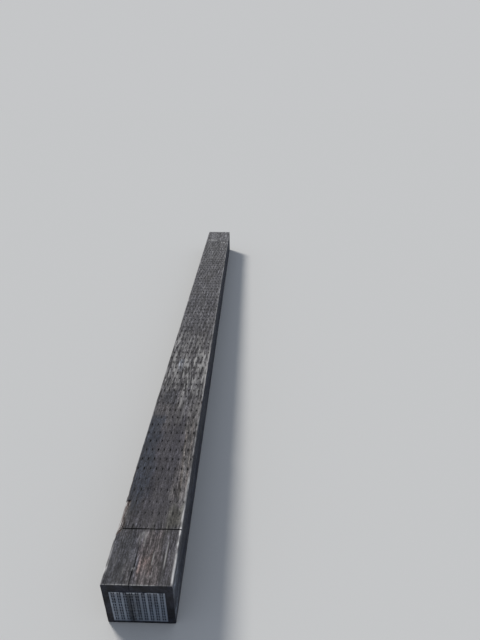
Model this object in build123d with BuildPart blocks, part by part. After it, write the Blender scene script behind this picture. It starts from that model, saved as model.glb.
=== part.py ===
# Railway sleeper: one long sawn timber, incised for its preservative, with a toothed
# steel nail plate pressed into its end to hold the end checks shut.
#
# The length runs along Y, with the plated end towards -Y. X runs across the sleeper,
# and Z runs up from the underside. The origin is on the underside, in the middle of
# the whole, plate included. Sizes are in millimetres.

import os

from build123d import *

os.makedirs("parts", exist_ok=True)

# Sawn timber
sleeper_length = 3962.4
sleeper_width = 228.6
sleeper_height = 203.2

# Wear along the four long arrises
left_arris_wear = 4.0
right_arris_wear = 3.0
lower_arris_wear = 5.0

# Nail plate, a square-cut piece of punched sheet
plate_width = 177.8
plate_height = 152.4
plate_thickness = 1.5
plate_top_margin = 36.0
plate_side_shift = -1.5

# Slots of the nail plate, punched in pairs, and the tooth folded in from each slot
pair_count = 9
pair_pitch = 19.3
slot_pitch_in_pair = 7.0
slot_row_count = 10
slot_row_pitch = 15.0
slot_width = 4.0
slot_length = 9.5
solid_foot = 7.0
tooth_length = 9.5
tooth_thickness = 1.5

# Incisions, pressed in by toothed rollers, each row a quarter step across from the last
incision_length = 16.0
incision_width = 3.2
incision_depth = 11.0
incision_spacing = 25.4
incision_row_pitch = 53.3
incision_row_shift = 6.35
incision_first_offset = -9.0
incision_edge_margin = 7.0
incised_from = 211.0
plain_end_margin = 370.0

# Saw kerfs across the top: one right across near the plated end, and two short ones
# near the plain end
kerf_width = 3.2
kerf_depth = 6.0
kerf_from_plated_end = 199.5
short_kerf_depth = 3.0
left_kerf_from_plain_end = 320.0
left_kerf_length = 88.0
left_kerf_centre = -50.0
right_kerf_from_plain_end = 410.0
right_kerf_length = 52.0
right_kerf_centre = 59.0

# Drying checks that open at an end, as place across, length, mouth and depth
plated_end_checks = [(-22.0, 128.0, 3.6, 30.0), (38.5, 70.0, 2.2, 20.0)]
plain_end_checks = [(18.0, 210.0, 4.5, 88.0), (-62.0, 95.0, 2.4, 34.0)]

# Splinter torn from the left top arris, as distances from the plated end: it starts at a
# point, soon has its full bite, and breaks off square. A worn slope runs on from the break.
splinter_start = 160.0
splinter_full = 205.0
splinter_end = 320.0
splinter_across = 20.0
splinter_down = 16.0
slope_end = 620.0
slope_across = 7.0
slope_down = 20.0

# Chips out of the right top arris, as distance from the plated end, length and bite
arris_chips = [(126.0, 30.0, 7.0), (152.0, 22.0, 5.0), (386.0, 34.0, 6.0), (544.0, 28.0, 8.0), (905.0, 95.0, 9.0)]
chip_depth = 11.0

# Where the timber and the plate lie
plated_end = (plate_thickness - sleeper_length) / 2
plain_end = plated_end + sleeper_length
left_side = -sleeper_width / 2
right_side = sleeper_width / 2
top_face = Plane.XY.offset(sleeper_height)
plate_top = sleeper_height - plate_top_margin
plate_foot = plate_top - plate_height
plate_middle = (plate_side_shift, (plate_top + plate_foot) / 2)

# The end face, seen from inside the timber: X across, Z up, outwards towards -Y
end_face = Plane(origin=(0, plated_end, 0), x_dir=(1, 0, 0), z_dir=(0, -1, 0))


def slot_places():
    """Centres of the slots on the end face. The top row runs out through the plate's edge."""
    first_row = plate_foot + solid_foot + slot_length / 2
    for pair in range(pair_count):
        pair_x = plate_side_shift + (pair - (pair_count - 1) / 2) * pair_pitch
        for side in (-0.5, 0.5):
            for row in range(slot_row_count):
                yield pair_x + side * slot_pitch_in_pair, first_row + row * slot_row_pitch


def incision_places():
    """Centres of the incisions on the top, row by row."""
    reach = sleeper_width / 2 - incision_edge_margin
    last_row = sleeper_length - plain_end_margin
    row = 0
    while incised_from + row * incision_row_pitch <= last_row:
        offset = (incision_first_offset + row * incision_row_shift) % incision_spacing
        steps = int((reach + offset) // incision_spacing)
        across = offset - steps * incision_spacing
        while across <= reach:
            yield across, plated_end + incised_from + row * incision_row_pitch
            across += incision_spacing
        row += 1


def arris_section(from_end, across, down):
    """Section of what is lost from the left top arris: a slope from across inwards to down the side."""
    corner = Plane(origin=(left_side, plated_end + from_end, sleeper_height), x_dir=(1, 0, 0), z_dir=(0, 1, 0))
    with BuildSketch(corner) as section:
        with BuildLine():
            Polyline(
                (across, 0), (across, -across), (-across, -across), (-across, down), (0, down),
                close=True,
            )
        make_face()
    return section.sketch.face()


# One tooth: a pointed tongue of sheet, as wide as its slot, standing behind the plate
with BuildPart() as tooth:
    with BuildSketch(Plane.XY) as tongue:
        with BuildLine():
            Polyline((-slot_width / 2, 0), (slot_width / 2, 0), (0, tooth_length), close=True)
        make_face()
    extrude(amount=-tooth_thickness)

# Nail plate: sheared from a coil, so that its top row of slots is cut open
with BuildPart() as end_plate:
    with BuildSketch(end_face) as sheet:
        with Locations(plate_middle):
            Rectangle(plate_width, plate_height)
        with Locations(*slot_places()):
            Rectangle(slot_width, slot_length, mode=Mode.SUBTRACT)
    extrude(amount=plate_thickness)
    with Locations(*[(x, plated_end, z - slot_length / 2) for x, z in slot_places()]):
        add(tooth.part)

# One incision: the wedge-shaped cut of a flat pointed blade
with BuildPart() as incision:
    with BuildSketch(Plane.YZ) as blade:
        with BuildLine():
            Polyline((-incision_length / 2, 0), (incision_length / 2, 0), (0, -incision_depth), close=True)
        make_face()
    extrude(amount=incision_width / 2, both=True)

# Splinter: the long thin piece that has torn away from the arris, and the slope worn beyond it
with BuildPart() as splinter:
    first_point = Vertex(left_side, plated_end + splinter_start, sleeper_height)
    full_bite = arris_section(splinter_full, splinter_across, splinter_down)
    loft(sections=[first_point, full_bite])
    extrude(full_bite, amount=splinter_end - splinter_full)
    worn_section = arris_section(splinter_end, slope_across, slope_down)
    last_point = Vertex(left_side, plated_end + slope_end, sleeper_height)
    loft(sections=[worn_section, last_point])

# Timber
with BuildPart() as timber:
    with BuildSketch(Plane(origin=(0, plated_end, 0), x_dir=(1, 0, 0), z_dir=(0, -1, 0))) as section:
        with Locations((0, sleeper_height / 2)):
            Rectangle(sleeper_width, sleeper_height)
        upper = section.vertices().group_by(Axis.Z)[-1].sort_by(Axis.X)
        lower = section.vertices().group_by(Axis.Z)[0]
        chamfer(lower, lower_arris_wear)
        chamfer(upper[0], left_arris_wear)
        chamfer(upper[-1], right_arris_wear)
    extrude(amount=-sleeper_length)

    # Saw kerfs
    with BuildSketch(top_face) as full_kerf:
        with Locations((0, plated_end + kerf_from_plated_end)):
            Rectangle(sleeper_width, kerf_width)
    extrude(amount=-kerf_depth, mode=Mode.SUBTRACT)
    with BuildSketch(top_face) as short_kerfs:
        with Locations((left_kerf_centre, plain_end - left_kerf_from_plain_end)):
            Rectangle(left_kerf_length, kerf_width)
        with Locations((right_kerf_centre, plain_end - right_kerf_from_plain_end)):
            Rectangle(right_kerf_length, kerf_width)
    extrude(amount=-short_kerf_depth, mode=Mode.SUBTRACT)

    # Drying checks, each a wedge in plan that runs in from its end
    for end, inwards, checks in ((plated_end, 1, plated_end_checks), (plain_end, -1, plain_end_checks)):
        for across, length, mouth, depth in checks:
            with BuildSketch(top_face) as check:
                with BuildLine():
                    Polyline(
                        (across - mouth / 2, end), (across + mouth / 2, end), (across, end + inwards * length),
                        close=True,
                    )
                make_face()
            extrude(amount=-depth, mode=Mode.SUBTRACT)

    # Torn and chipped top arrises
    add(splinter.part, mode=Mode.SUBTRACT)
    for from_end, length, bite in arris_chips:
        with BuildSketch(top_face) as chip:
            with BuildLine():
                Polyline(
                    (right_side, plated_end + from_end - length / 2),
                    (right_side - bite, plated_end + from_end + length / 6),
                    (right_side, plated_end + from_end + length / 2),
                    close=True,
                )
            make_face()
        extrude(amount=-chip_depth, mode=Mode.SUBTRACT)

    # Cuts that the plate's teeth make in the end grain
    add(end_plate.part, mode=Mode.SUBTRACT)

    # Incised top
    with Locations(*[(x, y, sleeper_height) for x, y in incision_places()]):
        add(incision.part, mode=Mode.SUBTRACT)

timber.part.label = "timber"
end_plate.part.label = "end_plate"
export_step(timber.part, "parts/timber.step")
export_step(end_plate.part, "parts/end_plate.step")
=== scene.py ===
import math

import bpy
import numpy as np
from mathutils import Matrix, Vector


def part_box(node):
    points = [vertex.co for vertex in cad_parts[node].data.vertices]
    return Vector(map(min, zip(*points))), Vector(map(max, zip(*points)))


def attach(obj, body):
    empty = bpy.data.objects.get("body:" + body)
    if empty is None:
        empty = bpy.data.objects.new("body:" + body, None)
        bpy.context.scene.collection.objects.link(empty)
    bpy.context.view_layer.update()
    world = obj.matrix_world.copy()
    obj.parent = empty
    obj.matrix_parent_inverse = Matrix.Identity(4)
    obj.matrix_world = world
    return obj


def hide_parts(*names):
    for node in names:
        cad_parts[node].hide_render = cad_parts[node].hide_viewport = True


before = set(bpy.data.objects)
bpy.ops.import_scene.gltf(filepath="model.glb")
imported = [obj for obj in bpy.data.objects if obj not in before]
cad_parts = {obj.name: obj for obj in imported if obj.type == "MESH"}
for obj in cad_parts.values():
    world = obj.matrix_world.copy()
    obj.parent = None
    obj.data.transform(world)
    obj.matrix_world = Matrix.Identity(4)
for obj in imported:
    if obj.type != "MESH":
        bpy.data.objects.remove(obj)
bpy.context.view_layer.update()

# Timber: one hardwood sleeper, sawn square and steeped in creosote. Toothed rollers pressed
# rows of slits into its top, each row a quarter step across from the last. Years outdoors
# have bleached its top, worn its arrises and torn a long splinter from the left one.
timber_low, timber_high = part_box("timber")
half_width = timber_high.x
timber_height = timber_high.z
plated_end = timber_low.y
timber_length = timber_high.y - timber_low.y

slit_spacing = 0.0254
slit_row_pitch = 0.0533
slit_row_shift = 0.00635
slit_first_offset = -0.009
slit_length = 0.016
slit_width = 0.0040
slit_depth = 0.010
slit_edge_margin = 0.007
slits_from = 0.211
slits_to = timber_length - 0.370
# How strongly each of the first rows bit, and all the others
first_row_strengths = [0.30, 0.45, 0.62, 0.60, 0.42]
full_row_strength = 0.92
# Places along a slit from its middle, in half lengths, and its depth and width there, as shares
slit_profile = [(-0.5, 0.75, 0.72), (0.0, 1.0, 1.0), (0.5, 0.68, 0.66)]
# How far creosote has spread round a slit, and how much further in the far half
stain_across, stain_along = 0.0052, 0.0125
far_half_from, far_spread = 1.60, 1.32

kerf_width = 0.0032
kerf_depth = 0.006
kerf_at = 0.1995
kerf_left_end = -0.096
short_kerf_depth = 0.003
# As distance from the plated end, then the span across
short_kerfs = [(timber_length - 0.320, -0.094, -0.006), (timber_length - 0.410, 0.033, 0.085)]

# Drying checks: place across, length, mouth, depth, sideways wander, and where fibres bridge them
plated_end_checks = [
    (-0.0217, 0.128, 0.0034, 0.030, -0.0016, 0.054),
    (0.0386, 0.070, 0.0022, 0.020, 0.0008, 0.030),
]
plain_end_checks = [
    (0.0164, 0.210, 0.0045, 0.088, 0.0025, 0.120),
    (-0.0630, 0.095, 0.0024, 0.034, -0.0015, 0.050),
]
# Half the length of such a bridge, and how far past its tip a check still bends the grain
bridge_half_length, grain_settles_over = 0.0045, 0.02

# Splinter torn from the left top arris: where it starts, is full and ends, and where the wane
# that runs on from it dies out
splinter_start, splinter_full, splinter_end, wane_end = 0.160, 0.205, 0.320, 0.620
splinter_across, splinter_down = 0.020, 0.016
wane_across, wane_down = 0.007, 0.020
# Chips out of the right top arris, as distance from the plated end, length and bite
arris_chips = [
    (0.126, 0.030, 0.007),
    (0.152, 0.022, 0.005),
    (0.386, 0.034, 0.006),
    (0.544, 0.028, 0.008),
    (0.905, 0.095, 0.009),
]
chip_depth = 0.011

# Wear of the four long arrises, by side and by bottom or top
corner_wear = {(-1, 1): 0.0042, (1, 1): 0.0033, (1, -1): 0.0050, (-1, -1): 0.0050}

# Depth of the relief: everywhere, broad hollows, the grain of sound wood, what weather has washed
# out of it, and the ease of the sawn ends' edges
least_relief, broad_relief, grain_relief, washed_out = 0.0002, 0.0007, 0.0006, 0.0026
end_ease = 0.0010

# Columns of the mesh: an even run of them over the top, and closer ones towards each arris
columns_per_slit = 8
column_step = slit_spacing / columns_per_slit
columns_to_next_row = round(slit_row_shift / column_step)
even_columns = range(-31, 37)
arris_columns = [0.0, 0.0006, 0.0018, 0.0036]
side_depths = [0.0, 0.0006, 0.0018, 0.0038, 0.0065, 0.010, 0.015, 0.021, 0.029, 0.040, 0.054, 0.071, 0.090,
               0.110, 0.130, 0.150, 0.168, 0.182, 0.192, 0.1975, 0.2008, 0.2024]
under_columns = [0.0, 0.0008, 0.0024, 0.0055, 0.0200, 0.0450, 0.0700, 0.0930]
# Half the distance between the two rows of the mesh that make a kerf's wall
hair = 0.0001


def lattice_noise(across, along, seed):
    """Smooth noise from 0 to 1 over two arrays of lattice coordinates, the same at each run."""
    column, row = np.floor(across).astype(np.int64), np.floor(along).astype(np.int64)
    u, v = across - column, along - row
    u, v = u * u * (3 - 2 * u), v * v * (3 - 2 * v)

    def corner(right, up):
        """The value at one corner of each lattice cell, scrambled with large odd numbers."""
        value = ((column + right) * 374761393 + (row + up) * 668265263 + seed * 974634777) & 0x7FFFFFFF
        value = ((value ^ (value >> 13)) * 1274126177) & 0x7FFFFFFF
        return ((value ^ (value >> 16)) & 0xFFFF) / 65535

    near = corner(0, 0) * (1 - u) + corner(1, 0) * u
    far = corner(0, 1) * (1 - u) + corner(1, 1) * u
    return near * (1 - v) + far * v


def ramp_between(value, start, end):
    """0 before start, 1 after end, and smooth between."""
    t = np.clip((value - start) / (end - start), 0, 1)
    return t * t * (3 - 2 * t)


def within(value, low, high, soft):
    """1 from low to high, and fading smoothly to 0 around both."""
    return ramp_between(value, low - soft, low + soft) * (1 - ramp_between(value, high - soft, high + soft))


def bell(value, middle, width):
    """1 in the middle, and fading away to both sides."""
    return np.exp(-(((value - middle) / width) ** 2))


def section_loop():
    """Points (x, z) round the sharp-edged section, from the left top arris over the top.

    The counts of points on the top, on one side and underneath come with them.
    """
    top = [-half_width + a for a in arris_columns]
    top += [slit_first_offset + step * column_step for step in even_columns]
    top += [half_width - a for a in reversed(arris_columns[1:])]
    right = [(half_width, timber_height - depth) for depth in side_depths]
    under = [half_width - a for a in under_columns] + [a - half_width for a in reversed(under_columns[1:])]
    left = [(-half_width, timber_height - depth) for depth in reversed(side_depths[1:])]
    loop = [(x, timber_height) for x in top] + right
    loop += [(x, 0.0) for x in under] + [(-half_width, 0.0)] + left
    return np.array(loop), len(top), len(side_depths), len(under)


def row_distances():
    """Distances of the mesh's rows from the plated end, close together where the top has cuts."""
    edge_rows = [0.0, 0.0012, 0.004]
    rows = edge_rows + list(np.arange(0.009, 0.194, 0.0052))
    walls = [side * kerf_width / 2 + lip for side in (-1, 1) for lip in (-hair, hair)]
    rows += [kerf_at + wall for wall in walls]
    centre = slits_from
    while centre <= slits_to:
        rows += [centre + share * slit_length / 2 for share in (-1.0, -0.5, 0.0, 0.5, 1.0)]
        gap = slit_row_pitch - slit_length
        rows += [centre + slit_length / 2 + gap * n / 5 for n in (1, 2, 3, 4)]
        centre += slit_row_pitch
    rows += list(np.arange(rows[-1] + 0.008, timber_length - 0.006, 0.0085))
    kerf_rows = [at + wall for at, _, _ in short_kerfs for wall in walls]
    rows = [d for d in rows if all(abs(d - k) > 0.003 for k in kerf_rows)] + kerf_rows
    break_off = [splinter_end - 0.0006, splinter_end + 0.0006]
    rows = [d for d in rows if all(abs(d - b) > 0.0012 for b in break_off)] + break_off
    return np.array(sorted(rows + [timber_length - distance for distance in edge_rows]))


loop, top_count, side_count, under_count = section_loop()
rows = row_distances()
column_count, row_count = len(loop), len(rows)
along = np.repeat(rows[:, None], column_count, axis=1)
steps = np.linalg.norm(np.roll(loop, -1, axis=0) - loop, axis=1)
girth = np.repeat(np.concatenate([[0], np.cumsum(steps)[:-1]])[None, :], row_count, axis=0)
on_top = np.zeros((row_count, column_count))
on_top[:, :top_count] = 1.0

# Worn arrises: each corner's radius changes along the length
radius = np.zeros((row_count, column_count))
for (side, level), wear in corner_wear.items():
    here = (np.sign(loop[:, 0] + 1e-9) == side) & (np.sign(loop[:, 1] - timber_height / 2) == level)
    change = lattice_noise(rows / 0.090, rows * 0, 11 + side + 3 * level) * 0.7
    change += lattice_noise(rows / 0.022, rows * 0, 23 + side + 3 * level) * 0.5
    radius[:, here] = (wear * (0.45 + change))[:, None]
sharp_x, sharp_z = np.broadcast_to(loop[:, 0], radius.shape), np.broadcast_to(loop[:, 1], radius.shape)
inner_x = np.clip(sharp_x, -half_width + radius, half_width - radius)
inner_z = np.clip(sharp_z, radius, timber_height - radius)
out_x, out_z = sharp_x - inner_x, sharp_z - inner_z
reach = np.hypot(out_x, out_z)
out_x, out_z = out_x / reach, out_z / reach


def patch(left, right, start, end, soft_across=0.012, soft_along=0.045):
    """1 over one stretch of the top, fading away round it with an uneven edge."""
    stray = lattice_noise(girth / 0.011, along / 0.060, 91) - 0.5
    a, d = sharp_x + stray * soft_across * 2, along + stray * soft_along * 2
    return within(a, left, right, soft_across) * within(d, start, end, soft_along) * on_top


def streak(first_across, start, last_across, end, width):
    """1 along one strand of the top that runs from one place to another."""
    t = np.clip((along - start) / (end - start), 0, 1)
    sway = 0.0015 * (lattice_noise(along / 0.05, along * 0, 92) - 0.5)
    line = first_across + (last_across - first_across) * t + sway
    inside = 1 - ramp_between(np.abs(sharp_x - line), width * 0.4, width * 0.8)
    begun = ramp_between(along, start - 0.01, start + 0.02)
    ended = ramp_between(along, end - 0.02, end + 0.01)
    return inside * begun * (1 - ended) * on_top


# Weathering of the top, where the soft wood has washed out from between pale ropey strands.
# Each stretch is its share, its left and right, its start and end, and how softly it fades.
# An edge at whole lies past the side, so that the stretch runs right out to it.
whole = half_width + 0.1
weathered_stretches = [
    (0.10, -whole, whole, 1.60, 3.52),
    (0.15, -0.03, 0.11, 0.30, 0.80),
    (0.80, -whole, whole, 1.02, 1.36),
    (0.40, -whole, whole, 1.40, 1.60),
    (0.55, 0.030, whole, 1.12, 1.42),
    (0.45, 0.020, whole, 0.80, 1.02),
    (0.60, -0.006, 0.014, 0.87, 1.06, 0.005),
    (0.35, -whole, -0.080, 0.98, 1.66),
]
spared_stretches = [
    (0.85, -whole, 0.058, 0.25, 0.80, 0.02),
    (0.80, -0.080, -0.014, 0.89, 1.005, 0.006, 0.015),
    (0.70, -0.055, -0.022, 1.14, 1.25, 0.006, 0.02),
]
weather = 0.08
for share, *stretch in weathered_stretches:
    weather = weather + share * patch(*stretch)
for share, *stretch in spared_stretches:
    weather = weather * (1 - share * patch(*stretch))
weather = np.clip(weather, 0, 1)

drift = lattice_noise(along / 0.45, girth / 0.12, 31) * 2.4
broad = lattice_noise(girth / 0.032 + drift * 0.3, along / 0.38, 32)
ridge = 1 - np.abs(2 * lattice_noise(girth / 0.0125 + drift, along / 0.13, 33) - 1)
strand = lattice_noise(girth / 0.0068 + drift * 1.7, along / 0.048, 34)
crest = np.clip(0.5 * ridge + 0.62 * strand - 0.05, 0, 1)
relief = least_relief + broad_relief * broad + (grain_relief + washed_out * weather) * (1 - crest)
relief[[0, -1], :] += end_ease
x = inner_x + out_x * (radius - relief)
z = inner_z + out_z * (radius - relief)
y = plated_end + along.copy()

cut = np.zeros((row_count, column_count))
soaked = np.zeros((row_count, column_count))
worn = np.zeros((row_count, column_count))
torn = np.zeros((row_count, column_count))
bleached = weather * ramp_between(crest, 0.42, 0.82) * (1 - 0.35 * patch(0.020, whole, 0.60, 0.96))
pale_strands = [
    (0.80, streak(0.0765, 0.055, 0.0765, 0.158, 0.0036)),
    (0.80, streak(0.0365, 0.064, 0.0365, 0.113, 0.0036)),
    (0.50, streak(-0.052, 0.028, -0.052, 0.056, 0.0028)),
    (0.75, patch(-0.026, 0.002, 0.138, 0.186, 0.004, 0.010) * ramp_between(crest, 0.3, 0.6)),
    (0.80, streak(0.020, timber_length - 0.105, 0.034, timber_length - 0.015, 0.0060)),
]
for share, strand_mask in pale_strands:
    bleached = np.maximum(bleached, share * strand_mask)
tan = np.maximum(streak(0.084, 0.330, 0.064, 0.73, 0.0075), 0.9 * streak(0.104, 0.37, 0.087, 0.78, 0.0080))
tan = tan * (0.45 + 0.55 * lattice_noise(girth / 0.005, along / 0.07, 93))
tan = np.maximum(tan, 0.26 * patch(0.055, 0.105, 0.33, 0.92))

# Slits of the incising rollers, each a narrow lens with its deepest point in the middle
column_of = {step: len(arris_columns) + n for n, step in enumerate(even_columns)}
row_of = {round(distance, 6): i for i, distance in enumerate(rows)}
steps_out = 6 * columns_per_slit
draw = np.random.default_rng(8)
slit_row = 0
while slits_from + slit_row * slit_row_pitch <= slits_to:
    centre = slits_from + slit_row * slit_row_pitch
    one_of_first = slit_row < len(first_row_strengths)
    row_strength = first_row_strengths[slit_row] if one_of_first else full_row_strength
    spread = 1.0 if centre < far_half_from else far_spread
    first_step = slit_row * columns_to_next_row % columns_per_slit - steps_out
    for step in range(first_step, steps_out, columns_per_slit):
        strength = row_strength * draw.uniform(0.70, 1.15) * (1.0 if draw.random() > 0.07 else 0.4)
        opening = slit_width * draw.uniform(0.82, 1.15) * (0.55 + 0.45 * strength)
        skew = draw.uniform(-0.0005, 0.0005)
        place = slit_first_offset + step * column_step
        if abs(place) > half_width - slit_edge_margin or step not in column_of:
            continue
        j = column_of[step]
        for share, sunk, wide in slit_profile:
            i = row_of.get(round(centre + share * slit_length / 2, 6))
            if i is None:
                continue
            x[i, j] += skew * share
            z[i, j] -= slit_depth * sunk * min(1.0, strength + 0.1)
            x[i, j - 1] = x[i, j] - opening / 2 * wide
            x[i, j + 1] = x[i, j] + opening / 2 * wide
            # Painted shade: the slit's floor and its edges are marked to be painted near black
            cut[i, j] = min(1.0, 0.3 + strength)
            for beside in (j - 1, j + 1):
                cut[i, beside] = max(cut[i, beside], 0.55 * strength)
        near = bell(rows, centre, stain_along * spread)[:, None]
        near = near * bell(sharp_x[0], place, stain_across * spread)
        near[:, top_count:] = 0
        soaked = np.maximum(soaked, near * min(1.0, strength * 1.1 * spread))
    slit_row += 1


def saw_across(at, depth, left, right, lip_shade):
    """A saw kerf across the top: two rows of the mesh sink between its lips. Its floor, and its lips by the
    given share, are painted near black as painted shade.
    """
    for side in (-1, 1):
        edge = at + side * kerf_width / 2
        sunk = int(np.argmin(np.abs(rows - (edge - side * hair))))
        rim = int(np.argmin(np.abs(rows - (edge + side * hair))))
        inside = (x[sunk] >= left) & (x[sunk] <= right) & (z[sunk] > timber_height - depth)
        uneven = 0.0004 * lattice_noise(x[sunk, inside] / 0.01, x[sunk, inside] * 0, 41)
        z[sunk, inside] = timber_height - depth - uneven
        cut[sunk, inside] = 1.0
        cut[rim, inside] = lip_shade
        wander = 0.0005 * (lattice_noise(x[sunk] / 0.05, x[sunk] * 0, 42) - 0.5)
        y[sunk] += wander
        y[rim] += wander


saw_across(kerf_at, kerf_depth, kerf_left_end, half_width, lip_shade=0.42)
# Beyond each short kerf, the saw has scuffed a pale strip with a frayed edge
pale_lip = np.zeros((row_count, column_count))
for kerf_place, kerf_left, kerf_right in short_kerfs:
    saw_across(kerf_place, short_kerf_depth, kerf_left, kerf_right, lip_shade=0.0)
    frayed = kerf_place + 0.009 + 0.024 * lattice_noise(sharp_x / 0.007, sharp_x * 0, 97)
    beyond = ramp_between(along, kerf_place - 0.001, kerf_place + 0.001)
    beyond = beyond * (1 - ramp_between(along, frayed - 0.009, frayed))
    inside = within(sharp_x, kerf_left + 0.004, kerf_right - 0.004, 0.006)
    bleached = np.maximum(bleached, beyond * inside * on_top)
    pale_lip = np.maximum(pale_lip, 0.60 * beyond * inside * on_top)


def open_check(across, length, mouth, depth, wander, bridge, from_end):
    """A drying check: one column of the top sinks into the wood and its neighbours part round it.

    It steps aside halfway, where a bridge of fibres still joins its two sides.
    """
    beside = np.abs(loop[:top_count, 0] - across)
    j = int(np.argmin(beside))
    for i, distance in enumerate(from_end):
        if distance > length + grain_settles_over:
            continue
        t = distance / length
        bridged = float(bell(distance, bridge, bridge_half_length))
        past_bridge = float(ramp_between(distance, bridge - 0.004, bridge + 0.004))
        sway = wander * (1 - 1.8 * past_bridge + 0.4 * math.sin(9 * t))
        sway *= 1 if t < 1 else max(0.0, 1 - (distance - length) / grain_settles_over)
        sway += 0.0006 * (float(lattice_noise(np.array(distance / 0.011), np.array(0.0), 51 + j)) - 0.5)
        x[i, :top_count] += sway * (1 - ramp_between(beside, 0.004, 0.022))
        if t >= 1:
            continue
        swell = 0.85 + 0.35 * math.sin(6 * t - 1.2)
        half = max(0.0003, mouth / 2 * (1 - t) ** 0.4 * swell) * (1 - 0.6 * bridged)
        x[i, j - 1] = x[i, j] - half
        x[i, j + 1] = x[i, j] + half
        z[i, j] = timber_height - (depth * (1 - t) ** 0.8 + 0.0015) * (1 - 0.93 * bridged)
        # Painted shade: the check's floor and its edges are marked to be painted near black
        cut[i, j] = 1.0 - bridged
        for k in (j - 1, j, j + 1):
            bleached[i, k] = max(bleached[i, k], 0.9 * bridged)
        for k in (j - 1, j + 1):
            cut[i, k] = max(cut[i, k], 0.35 * (1 - bridged))


for check in plated_end_checks:
    open_check(*check, rows)
for check in plain_end_checks:
    open_check(*check, timber_length - rows)


def shave_arris(side, across, down, hollow, roughness, seed):
    """Cuts one top arris back to a slope, from across inwards on the top to down the side.

    hollow(u) says how deep the slope is hollowed, where u runs from 0 on the top to 1 on the side.
    """
    size = np.hypot(across, down) + 1e-9
    normal_x, normal_z = (side * down / size)[:, None], (across / size)[:, None]
    from_x, from_z = x - (side * (half_width - across))[:, None], z - timber_height
    u = (from_x * side * across[:, None] - from_z * down[:, None]) / size[:, None] ** 2
    fibres = lattice_noise(u * size[:, None] / 0.0032 + drift, along / 0.055, seed) - 0.4
    over = from_x * normal_x + from_z * normal_z + roughness * fibres
    over += hollow(u) * np.minimum(1, size / 0.012)[:, None]
    taken = (over > 0) & (across > 0.0004)[:, None] & (u > -0.25) & (u < 1.25)
    x[taken] -= (over * normal_x)[taken]
    z[taken] -= (over * normal_z)[taken]
    return taken, u


def torn_hollow(u):
    """The torn face is hollow near the top, with a ridge of fibres standing below."""
    return 0.0026 * bell(u, 0.30, 0.22) - 0.0022 * bell(u, 0.72, 0.10)


# The splinter's bite is ragged: where it goes further across, it goes less far down
rise = ramp_between(rows, splinter_start, splinter_full) * (rows < splinter_end)
fade = (1 - ramp_between(rows, splinter_end, wane_end)) * (rows >= splinter_end)
ragged = 0.92 + 0.30 * lattice_noise(rows / 0.022, rows * 0, 61)
ragged_down = 1.577 - 0.7125 * ragged
bite_across = (splinter_across * rise + wane_across * fade) * ragged
bite_down = (splinter_down * rise + wane_down * fade) * ragged_down
taken, u = shave_arris(-1, bite_across, bite_down, torn_hollow, roughness=0.0014, seed=62)
in_splinter = taken & (along < splinter_end)
in_wane = taken & (along >= splinter_end)
splintery = 0.35 + 0.9 * lattice_noise(along / 0.016, u / 0.2, 66)
pale_ridge = (1.15 * bell(u, 0.73, 0.10) + 0.5 * bell(u, 0.0, 0.06)) * splintery
torn[in_splinter] = 1.0
torn[in_wane] = 0.25
worn[in_splinter] = pale_ridge[in_splinter]
worn[in_wane] = 0.0

for chip_at, chip_length, bite in arris_chips:
    opening_up = (rows - (chip_at - chip_length / 2)) / (chip_length * 2 / 3)
    closing = ((chip_at + chip_length / 2) - rows) / (chip_length / 3)
    t = np.clip(np.minimum(opening_up, closing), 0, 1)
    t = t * (0.8 + 0.2 * lattice_noise(rows / 0.01, rows * 0, 63))
    chipped, _ = shave_arris(1, bite * t, chip_depth * t, np.zeros_like, roughness=0.0008, seed=64)
    torn[chipped] = 0.6

# Wear on the top arrises, strongest on the right near the plated end. The left arris is partly worn and
# partly painted highlight, and the pale line along the plated end's top edge is painted highlight
from_right = np.abs(x - half_width) + (timber_height - z)
from_left = np.abs(x + half_width) + (timber_height - z)
right_wear = 1 - ramp_between(from_right, 0.0050, 0.0110)
right_wear = right_wear * (0.30 + 0.70 * (1 - ramp_between(along, 0.40, 0.50)))
# Partly painted highlight: the left arris, on the key light's side, is painted pale as well as worn
left_wear_and_highlight = 1 - ramp_between(from_left, 0.0030, 0.0070)
left_wear_and_highlight = left_wear_and_highlight * (0.75 * (1 - ramp_between(along, 0.17, 0.24)) + 0.22)
left_wear_and_highlight = np.maximum(left_wear_and_highlight, 0.6 * streak(-0.1080, 0.040, -0.1055, 0.150, 0.0026))
# Painted highlight: a pale line along the top edge of the plated end
end_edge_highlight = 0.75 * (1 - ramp_between(along, 0.0, 0.0045)) * on_top
broken_up = 0.35 + 0.65 * ramp_between(lattice_noise(along / 0.024, girth / 0.03, 71), 0.15, 0.5)
arris_wear_and_highlight = np.maximum(np.maximum(right_wear, left_wear_and_highlight), end_edge_highlight) * broken_up * (z > timber_height / 2)
worn = np.clip(np.maximum(np.maximum(worn, pale_lip), arris_wear_and_highlight), 0, 1)

# Where the grain shows less: the blue-grey stretch on the left, and the two sides of the kerf
quiet = 0.55 * patch(-whole, 0.058, 0.24, 0.86, 0.02) * (1 - tan)
quiet += 0.30 * patch(-whole, -0.030, -0.1, 0.18, 0.015) + 0.35 * patch(0.0, whole, 0.205, 0.30, 0.02, 0.02)

# Broad colours of the faces, by place: each is laid over the last with a share
broad_colours = np.zeros((row_count, column_count, 3)) + (0.055, 0.052, 0.061)


def lay(share, colour):
    """Lays a colour over the broad colours, by share."""
    broad_colours[:] = broad_colours * (1 - share[..., None]) + np.array(colour) * share[..., None]


cloud = 0.6 * lattice_noise(girth / 0.055, along / 0.30, 94)
cloud += 0.4 * lattice_noise(girth / 0.018, along / 0.11, 95)

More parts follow.
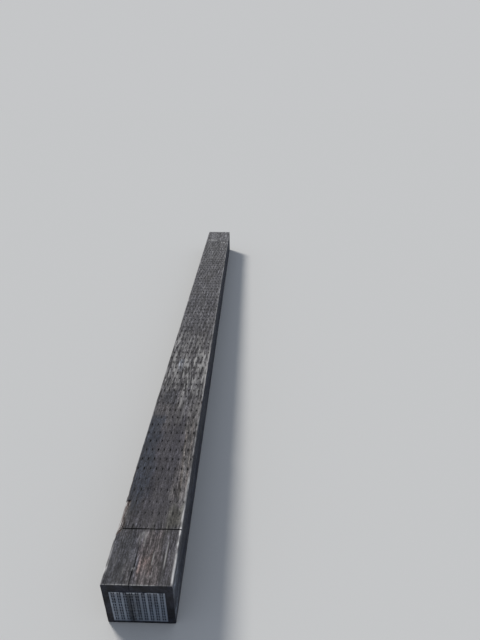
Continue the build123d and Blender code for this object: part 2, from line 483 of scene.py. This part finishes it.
# The top up to the weathered stretch, with its blue-grey left edge, red patch and tan strands
lay(0.75 * ramp_between(cloud, 0.40, 0.68), (0.082, 0.076, 0.079))
lay(0.70 * patch(-whole, 0.070, 0.25, 0.72, 0.03), (0.050, 0.047, 0.057))
lay(0.40 * patch(0.060, whole, 0.33, 0.80, 0.01, 0.03), (0.064, 0.058, 0.060))
lay(0.85 * patch(-whole, -0.050, 0.27, 0.80, 0.02), (0.029, 0.036, 0.052))
lay(0.75 * patch(-whole, -0.030, -0.1, 0.19, 0.02), (0.039, 0.041, 0.050))
lay(0.80 * patch(0.060, whole, 0.205, 0.30, 0.01, 0.02), (0.080, 0.077, 0.064))
lay(0.75 * patch(-0.006, 0.034, 0.040, 0.098, 0.007, 0.02), (0.170, 0.112, 0.098))
lay(0.50 * patch(-0.012, 0.060, -0.02, 0.190, 0.012, 0.02), (0.112, 0.090, 0.087))
lay(0.85 * tan, (0.138, 0.117, 0.102))

# The weathered stretch: pale strands, hollows darkened as painted shade, one spared patch and one bluish
# patch
lay(0.45 * weather, (0.118, 0.116, 0.115))
# Painted shade: the hollows between the pale strands darkened where the top has weathered
lay(0.75 * weather * (1 - ramp_between(crest, 0.18, 0.52)), (0.024, 0.023, 0.027))
lay(0.85 * patch(-0.080, -0.014, 0.89, 1.005, 0.006, 0.015), (0.052, 0.052, 0.060))
lay(0.60 * patch(-0.050, -0.028, 1.20, 1.31, 0.008, 0.02), (0.170, 0.185, 0.215))

# The far half, paler towards the plain end: painted sheen, the key light's grazing reflection off the
# far top painted in as a pale bluish grey. Past the short kerfs the top is paler still
lay(0.60 * ramp_between(along, 1.60, 1.80) * on_top, (0.112, 0.111, 0.121))
lay(0.60 * ramp_between(along, 2.60, 3.50) * on_top, (0.118, 0.118, 0.122))
past_kerfs = ramp_between(along, timber_length - 0.330, timber_length - 0.300)
lay(0.50 * past_kerfs * on_top, (0.140, 0.138, 0.148))

# The sides and the underside keep their creosote. The right side is darkened to blue-black as painted
# shade, with a pale streaky stretch at the plated end, and soil has splashed the foot of both.
off_top = 1 - ramp_between(z, timber_height - 0.012, timber_height - 0.003)
on_right = off_top * (sharp_x > 0)
side_streaks = ramp_between(lattice_noise(girth / 0.010 + drift, along / 0.22, 96), 0.42, 0.80)
near_end = 1 - ramp_between(along, 0.20, 0.55)
at_end = 1 - ramp_between(along, 0.06, 0.16)
lay(off_top, (0.024, 0.025, 0.032))
# Painted shade: the right side darkened to blue-black, as if lit only by a blue sky
lay(0.85 * on_right, (0.009, 0.014, 0.031))
lay(off_top * side_streaks * (0.25 + 0.35 * near_end), (0.078, 0.082, 0.094))
lay((0.6 * off_top - 0.4 * on_right) * ramp_between(cloud, 0.40, 0.65), (0.047, 0.046, 0.050))
lay(on_right * (0.25 + 0.60 * side_streaks) * ramp_between(z, 0.01, 0.06) * at_end, (0.150, 0.166, 0.200))
lay(off_top * (1 - ramp_between(z, 0.0, 0.035)) * 0.6, (0.062, 0.056, 0.050))

# The mesh's masks, with one value at each of its points
masks = {"cut": cut, "quiet": quiet, "soaked": soaked, "worn": worn, "torn": torn, "bleached": bleached}
masks["end_grain"] = np.zeros((row_count, column_count))
masks["end_grain"][[0, -1]] = 1.0
mask_parts = {name: [values.ravel()] for name, values in masks.items()}

vertices = [np.stack([x, y, z], axis=2).reshape(-1, 3)]
faces = []
for i in range(row_count - 1):
    this, after = i * column_count, (i + 1) * column_count
    for j in range(column_count):
        k = (j + 1) % column_count
        faces.append((this + j, this + k, after + k, after + j))


def close_end(row, inwards, seed):
    """The grid over one end face, joined to the end row of the sides.

    A strip of triangles joins its lowest row to the underside.
    """
    start = row * column_count
    top_chain = [start + j for j in range(top_count + 1)]
    right_chain = [start + top_count + j for j in range(side_count + 1)]
    under_chain = [start + (top_count + side_count + j) % column_count for j in range(under_count + 1)]
    left_chain = [start + (column_count - j) % column_count for j in range(side_count + 1)]
    flat = vertices[0]
    share_across = (np.concatenate([loop[:top_count, 0], [half_width]]) + half_width) / (2 * half_width)
    u = share_across[1:top_count]
    top_x, top_z = flat[top_chain[1:-1], 0], flat[top_chain[1:-1], 2]
    grid = [top_chain]
    count = sum(len(part) for part in vertices)
    for level in range(1, side_count):
        left, right = flat[left_chain[level]], flat[right_chain[level]]
        share = (timber_height - (left[2] + right[2]) / 2) / timber_height
        points = np.zeros((top_count - 1, 3))
        points[:, 0] = (left[0] + (right[0] - left[0]) * u) * share + top_x * (1 - share)
        points[:, 2] = (left[2] + (right[2] - left[2]) * u) - (timber_height - top_z) * (1 - share)
        rough = lattice_noise(points[:, 0] / 0.014, points[:, 2] / 0.014, seed) * 0.0006
        rough += lattice_noise(points[:, 0] / 0.045, points[:, 2] / 0.004, seed + 1) * 0.0003
        points[:, 1] = flat[start, 1] + inwards * rough
        vertices.append(points)
        for name, parts in mask_parts.items():
            parts.append(np.full(top_count - 1, 1.0 if name == "end_grain" else 0.0))
        grid.append([left_chain[level]] + list(range(count, count + top_count - 1)) + [right_chain[level]])
        count += top_count - 1
    made = []
    for upper, lower in zip(grid[:-1], grid[1:]):
        made += [(upper[c], lower[c], lower[c + 1], upper[c + 1]) for c in range(top_count)]
    across = np.concatenate(vertices)[:, 0]
    upper, lower = grid[-1], [left_chain[side_count]] + under_chain[-2::-1]
    a = b = 0
    while a < len(upper) - 1 or b < len(lower) - 1:
        more_above, more_below = a < len(upper) - 1, b < len(lower) - 1
        if more_above and (not more_below or across[upper[a + 1]] <= across[lower[b + 1]]):
            made.append((upper[a], lower[b], upper[a + 1]))
            a += 1
        else:
            made.append((upper[a], lower[b], lower[b + 1]))
            b += 1
    faces.extend(made if inwards > 0 else [tuple(reversed(face)) for face in made])


close_end(0, inwards=1, seed=81)
close_end(row_count - 1, inwards=-1, seed=83)


def mesh_piece(name, points, polygons, smooth_angle):
    """A mesh object with smooth faces and sharp edges above this angle."""
    mesh = bpy.data.meshes.new(name)
    mesh.from_pydata([tuple(p) for p in points], [], polygons)
    mesh.polygons.foreach_set("use_smooth", [True] * len(mesh.polygons))
    mesh.set_sharp_from_angle(angle=smooth_angle)
    mesh.validate()
    mesh.update()
    piece = bpy.data.objects.new(name, mesh)
    bpy.context.scene.collection.objects.link(piece)
    return piece


def keep_mask(piece, name, values):
    """Keeps a mask on a piece's mesh, for its material to read."""
    layer = piece.data.attributes.new(name, "FLOAT", "POINT")
    layer.data.foreach_set("value", np.asarray(values, dtype=np.float32))


timber = mesh_piece("weathered_timber", np.concatenate(vertices), faces, math.radians(50))
for name, parts in mask_parts.items():
    keep_mask(timber, name, np.concatenate(parts))
end_points = len(timber.data.vertices) - row_count * column_count
colours = np.concatenate([broad_colours.reshape(-1, 3), np.full((end_points, 3), 0.022)])
colours = np.concatenate([colours, np.ones((len(colours), 1))], axis=1).astype(np.float32)
layer = timber.data.attributes.new("broad_colours", "FLOAT_COLOR", "POINT")
layer.data.foreach_set("color", colours.ravel())


def add_node(tree, kind, sockets=None, **settings):
    """A shader node of this kind with its settings, and its sockets set or linked."""
    made = tree.nodes.new(kind)
    for name, value in settings.items():
        setattr(made, name, value)
    for socket, value in (sockets or {}).items():
        if isinstance(value, bpy.types.NodeSocket):
            tree.links.new(value, made.inputs[socket])
        else:
            made.inputs[socket].default_value = value
    return made


def maths(tree, operation, first, second=0.0, third=0.0):
    """The result of a math node."""
    return add_node(tree, "ShaderNodeMath", {0: first, 1: second, 2: third}, operation=operation).outputs[0]


def times(tree, first, second):
    """One value times another."""
    return maths(tree, "MULTIPLY", first, second)


def away_from(tree, value, middle):
    """How far value is from the middle, to either side."""
    return maths(tree, "ABSOLUTE", maths(tree, "SUBTRACT", value, middle))


def vector_maths(tree, operation, sockets):
    """The vector that a vector math node gives."""
    return add_node(tree, "ShaderNodeVectorMath", sockets, operation=operation).outputs[0]


def between(tree, value, start, end, low=0.0, high=1.0):
    """value taken smoothly from start..end to low..high."""
    sockets = {"Value": value, "From Min": start, "From Max": end, "To Min": low, "To Max": high}
    return add_node(tree, "ShaderNodeMapRange", sockets, interpolation_type="SMOOTHSTEP").outputs[0]


def blend(tree, share, first, second, how="MIX"):
    """Two colours mixed by share."""
    sockets = {0: share, 6: first, 7: second}
    return add_node(tree, "ShaderNodeMix", sockets, data_type="RGBA", blend_type=how).outputs[2]


def shaded(tree, colour, value):
    """colour made darker or lighter by value."""
    grey = add_node(tree, "ShaderNodeCombineColor", {0: value, 1: value, 2: value}).outputs[0]
    return blend(tree, 1.0, colour, grey, "MULTIPLY")


def noise(tree, vector, scale, detail=4.0, roughness=0.55, distortion=0.0):
    """The value of a noise texture."""
    sockets = {"Vector": vector, "Scale": scale, "Detail": detail, "Roughness": roughness}
    sockets["Distortion"] = distortion
    return add_node(tree, "ShaderNodeTexNoise", sockets).outputs["Fac"]


def stretched(tree, vector, across, lengthwise, upwards, shift=(0.0, 0.0, 0.0)):
    """vector scaled by its own amount on each axis."""
    sockets = {"Vector": vector, "Scale": (across, lengthwise, upwards), "Location": shift}
    return add_node(tree, "ShaderNodeMapping", sockets).outputs[0]


def mask_value(tree, name):
    """One of the mesh's own masks."""
    return add_node(tree, "ShaderNodeAttribute", attribute_name=name).outputs["Fac"]


def new_material(name):
    """A material with nothing in it yet, and its node tree."""
    material = bpy.data.materials.new(name)
    material.use_nodes = True
    material.node_tree.nodes.clear()
    return material, material.node_tree


def new_group(name, numbers, results):
    """A node group that takes a Vector and these numbers, with what it is given and its output node."""
    group = bpy.data.node_groups.new(name, "ShaderNodeTree")
    group.interface.new_socket("Vector", in_out="INPUT", socket_type="NodeSocketVector")
    for label, value in numbers.items():
        socket = group.interface.new_socket(label, in_out="INPUT", socket_type="NodeSocketFloat")
        socket.default_value = value
    for label in results:
        group.interface.new_socket(label, in_out="OUTPUT", socket_type="NodeSocketFloat")
    return group, group.nodes.new("NodeGroupInput").outputs, group.nodes.new("NodeGroupOutput")


def put_out(group, end, results):
    """Links results to the group's outputs by name."""
    for label, socket in results.items():
        group.links.new(socket, end.inputs[label])


def use_group(tree, group, sockets):
    """The group placed in a material, with its own values."""
    return add_node(tree, "ShaderNodeGroup", sockets, node_tree=group).outputs


# Long grain: fine fibres, wider bands of harder wood, the pale strands that weather leaves, and
# fine drying cracks. The grain wanders a little along the timber.
long_grain, given, end = new_group(
    "Long grain",
    {"Fibre width": 1.0, "Wander": 1.0},
    ["Fibres", "Bands", "Strands", "Cracks"],
)
tree = long_grain
slow_place = stretched(tree, given["Vector"], 9, 2.2, 9)
slow = add_node(tree, "ShaderNodeTexNoise", {"Vector": slow_place, "Scale": 1.0, "Detail": 2.0})
sway = vector_maths(tree, "SUBTRACT", {0: slow.outputs["Color"], 1: (0.5, 0.5, 0.5)})
sway = vector_maths(tree, "SCALE", {0: sway, "Scale": times(tree, given["Wander"], 0.035)})
moved = vector_maths(tree, "ADD", {0: given["Vector"], 1: sway})
narrowing = maths(tree, "DIVIDE", 1.0, given["Fibre width"])
narrow = vector_maths(tree, "SCALE", {0: moved, "Scale": narrowing})
fibres = noise(tree, stretched(tree, narrow, 620, 14, 620), 1.0, 4.0, 0.6)
bands = noise(tree, stretched(tree, narrow, 165, 4.5, 165), 1.0, 3.0, 0.5)
strands = noise(tree, stretched(tree, narrow, 270, 10, 270), 1.0, 5.0, 0.6, 0.3)
strands = between(tree, strands, 0.48, 0.62)
cracks = noise(tree, stretched(tree, narrow, 190, 4.5, 190, (3.1, 1.7, 0.4)), 1.0, 3.0, 0.5)
cracks = between(tree, away_from(tree, cracks, 0.5), 0.0, 0.016, 1.0, 0.0)
put_out(tree, end, {"Fibres": fibres, "Bands": bands, "Strands": strands, "Cracks": cracks})

# Grime: patches of dirt and dust, in broad clouds with a gritty edge
grime, given, end = new_group("Grime", {"Patch size": 1.0, "Amount": 0.5}, ["Mask", "Grit"])
tree = grime
clouds = noise(tree, given["Vector"], maths(tree, "DIVIDE", 6.0, given["Patch size"]), 7.0, 0.62)
grit = noise(tree, given["Vector"], 420.0, 3.0, 0.7)
edge = maths(tree, "SUBTRACT", 1.0, given["Amount"])
edge = maths(tree, "MULTIPLY_ADD", edge, 0.5, 0.25)
lifted = maths(tree, "MULTIPLY_ADD", grit, 0.10, maths(tree, "SUBTRACT", clouds, edge))
put_out(tree, end, {"Mask": between(tree, lifted, -0.02, 0.16), "Grit": grit})

# Growth rings round a pith that leans along the timber, for the end grain and the figure on the faces
growth_rings, given, end = new_group(
    "Growth rings",
    {"Pith across": 0.0, "Pith height": 0.1, "Ring width": 0.004},
    ["Rings", "Rays"],
)
tree = growth_rings
place = given["Vector"]
at = add_node(tree, "ShaderNodeSeparateXYZ", {0: place}).outputs
lean = noise(tree, stretched(tree, place, 0, 0.8, 0), 1.0, 1.0)
lean = maths(tree, "MULTIPLY_ADD", lean, 0.09, -0.045)
off_x = maths(tree, "SUBTRACT", maths(tree, "ADD", at[0], lean), given["Pith across"])
off_z = maths(tree, "SUBTRACT", at[2], given["Pith height"])
lobes = noise(tree, stretched(tree, place, 14, 1.6, 14), 1.0, 3.0)
squares = maths(tree, "ADD", times(tree, off_x, off_x), times(tree, off_z, off_z))
distance = maths(tree, "MULTIPLY_ADD", lobes, 0.022, maths(tree, "SQRT", squares))
phase = maths(tree, "DIVIDE", distance, given["Ring width"])
slow_phase = add_node(tree, "ShaderNodeCombineXYZ", {0: times(tree, phase, 0.23)})
uneven = noise(tree, slow_phase.outputs[0], 1.0, 2.0)
ring = maths(tree, "FRACT", maths(tree, "MULTIPLY_ADD", uneven, 2.5, phase))
ring = maths(tree, "POWER", ring, 2.6)
angle = maths(tree, "ARCTAN2", off_z, off_x)
ray_sockets = {0: times(tree, angle, 26.0), 1: times(tree, distance, 14.0)}
ray_place = add_node(tree, "ShaderNodeCombineXYZ", ray_sockets).outputs[0]
rays = away_from(tree, noise(tree, ray_place, 1.0, 3.0, 0.6), 0.5)
rays = between(tree, rays, 0.0, 0.02, 1.0, 0.0)
put_out(tree, end, {"Rings": ring, "Rays": rays})

bleached_colour = (0.540, 0.528, 0.516, 1)
rubbed_and_highlight_colour = (0.790, 0.775, 0.765, 1)
creosote_colour = (0.014, 0.014, 0.017, 1)
crack_colour = (0.012, 0.011, 0.012, 1)
# Near black of the painted shade in the slits, kerfs and checks
cut_shade_colour = (0.006, 0.006, 0.007, 1)
torn_dark, torn_light = (0.026, 0.014, 0.012, 1), (0.092, 0.048, 0.036, 1)
dust_colour = (0.080, 0.074, 0.068, 1)
# End grain near black, partly painted shade with a blue tint
end_grain_and_shade_colour = (0.0170, 0.0180, 0.0275, 1)
ray_colour = (0.005, 0.005, 0.006, 1)
end_dust_colour = (0.055, 0.052, 0.050, 1)

timber_finish, tree = new_material("Creosoted hardwood, weathered")
place = add_node(tree, "ShaderNodeTexCoord").outputs["Object"]
mask = {name: mask_value(tree, name) for name in masks}
broad_colour = add_node(tree, "ShaderNodeAttribute", attribute_name="broad_colours").outputs["Color"]
grain = use_group(tree, long_grain, {"Vector": place, "Fibre width": 1.0, "Wander": 1.0})
coarse_grain = use_group(tree, long_grain, {"Vector": place, "Fibre width": 2.6, "Wander": 1.4})
pith = {"Pith across": 0.018, "Pith height": 0.112, "Ring width": 0.0042}
rings = use_group(tree, growth_rings, {"Vector": place, **pith})
dirt = use_group(tree, grime, {"Vector": place, "Patch size": 1.0, "Amount": 0.42})
flecks = noise(tree, stretched(tree, place, 150, 42, 150), 1.0, 4.0, 0.72)
blotches = noise(tree, stretched(tree, place, 38, 17, 38), 1.0, 4.0, 0.65, 0.4)
specks = noise(tree, stretched(tree, place, 230, 135, 230), 1.0, 2.0, 0.8)

# Grain: each pattern, between two of its values, darkens the broad colour or lightens it
tone = between(tree, grain["Bands"], 0.36, 0.64, 0.62, 1.45)
for pattern, low, high, darkest, lightest in (
    (coarse_grain["Fibres"], 0.34, 0.66, 0.66, 1.42),
    (grain["Fibres"], 0.30, 0.70, 0.66, 1.40),
    (rings["Rings"], 0.0, 1.0, 0.92, 1.22),
    (flecks, 0.40, 0.60, 0.50, 1.50),
    (blotches, 0.38, 0.62, 0.72, 1.26),
):
    tone = times(tree, tone, between(tree, pattern, low, high, darkest, lightest))
tone = maths(tree, "MULTIPLY_ADD", maths(tree, "SUBTRACT", 1.0, tone), mask["quiet"], tone)
tone = times(tree, tone, between(tree, specks, 0.40, 0.60, 0.60, 1.42))
wood = shaded(tree, broad_colour, tone)

# Bleached strands where the top has weathered most, creosote round the slits, and drying cracks
fine_strands = times(tree, grain["Strands"], between(tree, mask["bleached"], 0.02, 0.6, 0.05, 1.0))
bleach = times(tree, mask["bleached"], between(tree, grain["Strands"], 0.0, 1.0, 0.55, 1.1))
bleach = maths(tree, "MAXIMUM", bleach, times(tree, fine_strands, 0.35))
fibre_tone = between(tree, grain["Fibres"], 0.32, 0.68, 0.55, 1.25)
wood = blend(tree, times(tree, bleach, 0.95), wood, shaded(tree, bleached_colour, fibre_tone))
wood = blend(tree, times(tree, mask["soaked"], 0.80), wood, creosote_colour)
wood = blend(tree, times(tree, coarse_grain["Cracks"], 0.55), wood, crack_colour)

# Torn wood, worn arrises with painted highlights, and cuts painted near black as painted shade
torn_wood = blend(tree, between(tree, grain["Bands"], 0.42, 0.60), torn_dark, torn_light)
surface = blend(tree, times(tree, mask["torn"], 0.9), wood, torn_wood)
# Pale rubbed wood on the worn arrises, with painted highlights on the left arris and along the plated end's
# top edge
rubbed_and_highlight = times(tree, mask["worn"], between(tree, grain["Bands"], 0.32, 0.50, 0.45, 1.0))
rubbed_and_highlight = times(tree, rubbed_and_highlight, between(tree, coarse_grain["Fibres"], 0.36, 0.58, 0.45, 1.25))
surface = blend(tree, rubbed_and_highlight, surface, shaded(tree, rubbed_and_highlight_colour, fibre_tone))
# Painted shade: the floors and lips of the slits, kerfs and checks painted near black
surface = blend(tree, between(tree, mask["cut"], 0.10, 0.70), surface, cut_shade_colour)
surface = blend(tree, times(tree, dirt["Mask"], 0.15), surface, dust_colour)

# End grain: creosote soaks deepest here, so the rings show only faintly through the black. The black
# is partly painted shade, with the blue tint of shade lit by a blue sky
end_blotches = noise(tree, place, 34.0, 5.0, 0.65)
end_tone = between(tree, rings["Rings"], 0.1, 0.9, 0.62, 1.85)
end_tone = times(tree, end_tone, between(tree, dirt["Grit"], 0.3, 0.7, 0.75, 1.3))
end_tone = times(tree, end_tone, between(tree, end_blotches, 0.38, 0.62, 0.45, 1.75))
end_wood = shaded(tree, end_grain_and_shade_colour, end_tone)
end_wood = blend(tree, times(tree, rings["Rays"], 0.7), end_wood, ray_colour)
end_wood = blend(tree, times(tree, dirt["Mask"], 0.2), end_wood, end_dust_colour)
surface = blend(tree, mask["end_grain"], surface, end_wood)

# Relief that is finer than the mesh: each pattern's share of the bump
height = times(tree, grain["Fibres"], 0.5)
for pattern, share in (
    (coarse_grain["Fibres"], 0.6),
    (grain["Bands"], 0.7),
    (coarse_grain["Cracks"], -0.5),
    (rings["Rings"], 0.25),
    (dirt["Grit"], 0.12),
):
    height = maths(tree, "MULTIPLY_ADD", pattern, share, height)
bump = add_node(tree, "ShaderNodeBump", {"Height": height, "Strength": 0.9, "Distance": 0.0012})
timber_sockets = {
    "Base Color": surface,
    "Roughness": between(tree, grain["Fibres"], 0.3, 0.7, 0.88, 0.66),
    "Normal": bump.outputs[0],
    "Specular IOR Level": 0.35,
}
shader = add_node(tree, "ShaderNodeBsdfPrincipled", timber_sockets)
add_node(tree, "ShaderNodeOutputMaterial", {"Surface": shader.outputs[0]})
timber.data.materials.append(timber_finish)
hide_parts("timber")
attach(timber, "root")

# Slivers: thin strips of wood that the splinter left behind in the torn hollow when it broke off,
# each still rooted in the timber at one end and lifting a little at the other.
sliver_count = 34
sliver_rings = 7
roots_from, roots_to = 0.215, splinter_end - 0.003
tips_from = 0.185
root_sunk = 0.0012
kept_below_top = 0.0008
draw = np.random.default_rng(5)
points, polygons, sliver_paleness = [], [], []
for _ in range(sliver_count):
    share_down = draw.uniform(0.03, 0.66)
    root = draw.uniform(roots_from, roots_to)
    length = min(draw.uniform(0.020, 0.090), root - tips_from)
    width, thickness = draw.uniform(0.0008, 0.0026), draw.uniform(0.0005, 0.0012)
    lift, stray = draw.uniform(0.0004, 0.0030), draw.uniform(-0.0030, 0.0030)
    paleness = draw.uniform(0.0, 0.9) ** 2
    first = len(points)
    for ring in range(sliver_rings):
        t = ring / (sliver_rings - 1)
        distance = root - length * t
        lost_across = np.interp(distance, rows, bite_across)
        lost_down = np.interp(distance, rows, bite_down)
        size = math.hypot(lost_across, lost_down) + 1e-9
        down_slope = np.array([-lost_across / size, -lost_down / size])
        outwards = np.array([-lost_down / size, lost_across / size])
        middle = np.array([lost_across - half_width, timber_height])
        middle = middle + down_slope * (share_down * size + stray * t)
        middle = middle + outwards * (lift * t * t - root_sunk)
        half = width / 2 * (1 - 0.85 * t ** 1.5)
        for sideways, up in ((-half, -0.5), (half, -0.5), (half * 0.8, 0.5), (-half * 0.8, 0.5)):
            corner = middle + down_slope * sideways + outwards * up * thickness * (1 - 0.6 * t)
            corner_height = min(corner[1], timber_height - kept_below_top)
            points.append((corner[0], plated_end + distance, corner_height))
            sliver_paleness.append(paleness * (0.4 + 0.6 * t))
        if ring:
            last, this = first + 4 * (ring - 1), first + 4 * ring
            polygons += [(last + c, last + (c + 1) % 4, this + (c + 1) % 4, this + c) for c in range(4)]
    tip = first + 4 * (sliver_rings - 1)
    polygons += [(first + 3, first + 2, first + 1, first), (tip, tip + 1, tip + 2, tip + 3)]
slivers = mesh_piece("torn_slivers", points, polygons, math.radians(50))
keep_mask(slivers, "torn", [1.0] * len(points))
keep_mask(slivers, "worn", sliver_paleness)
slivers.data.materials.append(timber_finish)
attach(slivers, "root")

# Nail plate: punched galvanised sheet, its rows of teeth folded back and pressed into the end
# grain to hold the end checks shut. Its zinc has dulled, and creosote has run down it.
end_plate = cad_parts["end_plate"]
plate_low, plate_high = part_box("end_plate")
plate_middle = (plate_low.x + plate_high.x) / 2
slot_pair_pitch = 0.0193
# How strong the painted highlight is on each plain strip between the pairs of slots, from the left
strip_highlight_strength = [1.0, 0.45, 1.0, 0.15, 0.35, 0.80, 1.0, 0.65, 1.0, 1.0]
# Where creosote has run down the plate, and the middle of the wider stain round it
run_at, stain_at = -0.0285, -0.0140

zinc_dark, zinc_light = (0.136, 0.168, 0.222, 1), (0.186, 0.224, 0.286, 1)
smear_colour = (0.046, 0.054, 0.070, 1)
dusty_foot_colour = (0.270, 0.310, 0.375, 1)
sooty_top_colour = (0.080, 0.070, 0.080, 1)
clean_corner_colour = (0.300, 0.330, 0.380, 1)
strip_highlight_colour = (0.410, 0.465, 0.550, 1)
stain_colour = (0.060, 0.064, 0.074, 1)
run_colour = (0.014, 0.019, 0.028, 1)
plate_dirt_colour = (0.100, 0.106, 0.116, 1)
torn_tab_highlight_colour = (0.480, 0.510, 0.560, 1)

plate_finish, tree = new_material("Galvanised sheet, dulled")
place = add_node(tree, "ShaderNodeTexCoord").outputs["Object"]
at = add_node(tree, "ShaderNodeSeparateXYZ", {0: place}).outputs
dirt = use_group(tree, grime, {"Vector": place, "Patch size": 0.35, "Amount": 0.45})
spangle = add_node(tree, "ShaderNodeTexVoronoi", {"Vector": place, "Scale": 150.0}, feature="F1")
flakes = add_node(tree, "ShaderNodeSeparateColor", {0: spangle.outputs["Color"]}).outputs[0]
runs = noise(tree, stretched(tree, place, 120, 40, 11), 1.0, 4.0, 0.6)
smears = noise(tree, stretched(tree, place, 45, 40, 26), 1.0, 4.0, 0.65)

# The plain strips between the pairs of slots are painted paler, some more than others: painted highlights
strip_highlights = []
for number, brightness in enumerate(strip_highlight_strength):
    strip_place = plate_middle + (number - (len(strip_highlight_strength) - 1) / 2) * slot_pair_pitch
    strip_place = min(max(strip_place, plate_low.x + 0.001), plate_high.x - 0.001)
    strip_highlights.append(between(tree, away_from(tree, at[0], strip_place), 0.0052, 0.0018, 0.0, brightness))
strip_highlight = strip_highlights[0]
for next_strip_highlight in strip_highlights[1:]:
    strip_highlight = maths(tree, "MAXIMUM", strip_highlight, next_strip_highlight)
strip_highlight = times(tree, strip_highlight, between(tree, runs, 0.30, 0.56, 0.30, 0.85))
upper_right = times(tree, between(tree, at[0], 0.045, 0.080), between(tree, at[2], 0.060, 0.120))
zinc = blend(tree, between(tree, flakes, 0.0, 1.0), zinc_dark, zinc_light)
zinc = blend(tree, between(tree, smears, 0.50, 0.36, 0.0, 0.65), zinc, smear_colour)
zinc = blend(tree, between(tree, at[2], 0.125, 0.026, 0.0, 0.70), zinc, dusty_foot_colour)
zinc = blend(tree, between(tree, at[2], 0.105, 0.165, 0.0, 0.42), zinc, sooty_top_colour)
zinc = blend(tree, times(tree, upper_right, 0.40), zinc, clean_corner_colour)
# Painted highlights: the plain strips between the slot pairs painted paler
zinc = blend(tree, times(tree, strip_highlight, 0.70), zinc, strip_highlight_colour)

# Creosote stains, dirt, and painted highlights on the torn tabs along the top edge
wide_stain = between(tree, away_from(tree, at[0], stain_at), 0.032, 0.010)
wide_stain = times(tree, wide_stain, between(tree, smears, 0.40, 0.56))
run = between(tree, away_from(tree, at[0], run_at), 0.010, 0.003)
run = times(tree, run, between(tree, runs, 0.30, 0.5, 0.55, 0.95))
# Painted highlights: pale glints on the torn tabs along the top edge
torn_tab_highlights = between(tree, at[2], plate_high.z - 0.008, plate_high.z - 0.002)
torn_tab_highlights = times(tree, torn_tab_highlights, between(tree, smears, 0.44, 0.54))
zinc = blend(tree, times(tree, wide_stain, 0.58), zinc, stain_colour)
zinc = blend(tree, run, zinc, run_colour)
zinc = blend(tree, times(tree, dirt["Mask"], 0.35), zinc, plate_dirt_colour)
zinc = blend(tree, times(tree, torn_tab_highlights, 0.9), zinc, torn_tab_highlight_colour)

height = maths(tree, "MULTIPLY_ADD", dirt["Grit"], 0.4, times(tree, dirt["Mask"], 0.6))
bump = add_node(tree, "ShaderNodeBump", {"Height": height, "Strength": 0.5, "Distance": 0.0004})
gloss = between(tree, flakes, 0.0, 1.0, 0.42, 0.58)
plate_sockets = {
    "Base Color": zinc,
    "Roughness": maths(tree, "MULTIPLY_ADD", dirt["Mask"], 0.25, gloss),
    "Metallic": between(tree, dirt["Mask"], 0.0, 1.0, 0.75, 0.2),
    "Normal": bump.outputs[0],
}
shader = add_node(tree, "ShaderNodeBsdfPrincipled", plate_sockets)
add_node(tree, "ShaderNodeOutputMaterial", {"Surface": shader.outputs[0]})
if end_plate.material_slots:
    end_plate.material_slots[0].material = plate_finish
else:
    end_plate.data.materials.append(plate_finish)

# Setting: a plain pale floor, a soft low key from behind on the left, a cool fill all round, and
# a camera standing over the plated end, at the photograph's viewing angle
floor_half = 60.0
floor_mesh = bpy.data.meshes.new("floor")
floor_corners = [(x * floor_half, y * floor_half, 0) for x, y in ((-1, -1), (1, -1), (1, 1), (-1, 1))]
floor_mesh.from_pydata(floor_corners, [], [(0, 1, 2, 3)])
floor = bpy.data.objects.new("floor", floor_mesh)
bpy.context.scene.collection.objects.link(floor)
floor.location.z = -0.0005
floor_finish = bpy.data.materials.new("Pale floor")
floor_finish.use_nodes = True
floor_shader = floor_finish.node_tree.nodes["Principled BSDF"]
floor_shader.inputs["Base Color"].default_value = (0.70, 0.70, 0.69, 1)
floor_shader.inputs["Roughness"].default_value = 1.0
floor_shader.inputs["Specular IOR Level"].default_value = 0.0
floor_mesh.materials.append(floor_finish)

key = bpy.data.lights.new("key", "SUN")
key.energy = 2.6
key.angle = math.radians(14)
key.color = (1.0, 0.965, 0.91)
key_lamp = bpy.data.objects.new("key", key)
key_from = Vector((-0.75, 0.75, 0.80))
key_lamp.rotation_euler = key_from.to_track_quat("Z", "Y").to_euler()
bpy.context.scene.collection.objects.link(key_lamp)

world = bpy.data.worlds.new("studio")
bpy.context.scene.world = world
world.use_nodes = True
sky = world.node_tree
sky.nodes.clear()
fill = add_node(sky, "ShaderNodeBackground", {"Color": (0.78, 0.86, 1.0, 1), "Strength": 0.38})
backdrop = add_node(sky, "ShaderNodeBackground", {"Color": (0.558, 0.566, 0.577, 1), "Strength": 1.0})
seen = add_node(sky, "ShaderNodeLightPath").outputs["Is Camera Ray"]
mixed = add_node(sky, "ShaderNodeMixShader", {0: seen, 1: fill.outputs[0], 2: backdrop.outputs[0]})
add_node(sky, "ShaderNodeOutputWorld", {"Surface": mixed.outputs[0]})

bpy.context.scene.view_settings.view_transform = "Standard"

# The camera's place and angles were found from the sleeper's edges in the photograph
camera_place = Vector((0.3381, -2.79895, 1.5521))
camera_yaw, camera_pitch, camera_roll = math.radians(-1.263), math.radians(27.154), math.radians(-0.19)
focal_length_in_pixels = 436.0
picture_height_in_pixels = 640
level = math.cos(camera_pitch)
forward = Vector((math.sin(camera_yaw) * level, math.cos(camera_yaw) * level, -math.sin(camera_pitch)))
level_right = Vector((math.cos(camera_yaw), -math.sin(camera_yaw), 0))
level_down = forward.cross(level_right)
right_axis = math.cos(camera_roll) * level_right + math.sin(camera_roll) * level_down
down_axis = -math.sin(camera_roll) * level_right + math.cos(camera_roll) * level_down
camera = bpy.data.cameras.new("camera")
camera.sensor_fit = "VERTICAL"
camera.sensor_height = 36.0
camera.lens = camera.sensor_height * focal_length_in_pixels / picture_height_in_pixels
camera.clip_end = 200.0
camera_object = bpy.data.objects.new("camera", camera)
axes = Matrix((right_axis, -down_axis, -forward)).transposed().to_4x4()
camera_object.matrix_world = Matrix.Translation(camera_place) @ axes
bpy.context.scene.collection.objects.link(camera_object)
bpy.context.scene.camera = camera_object
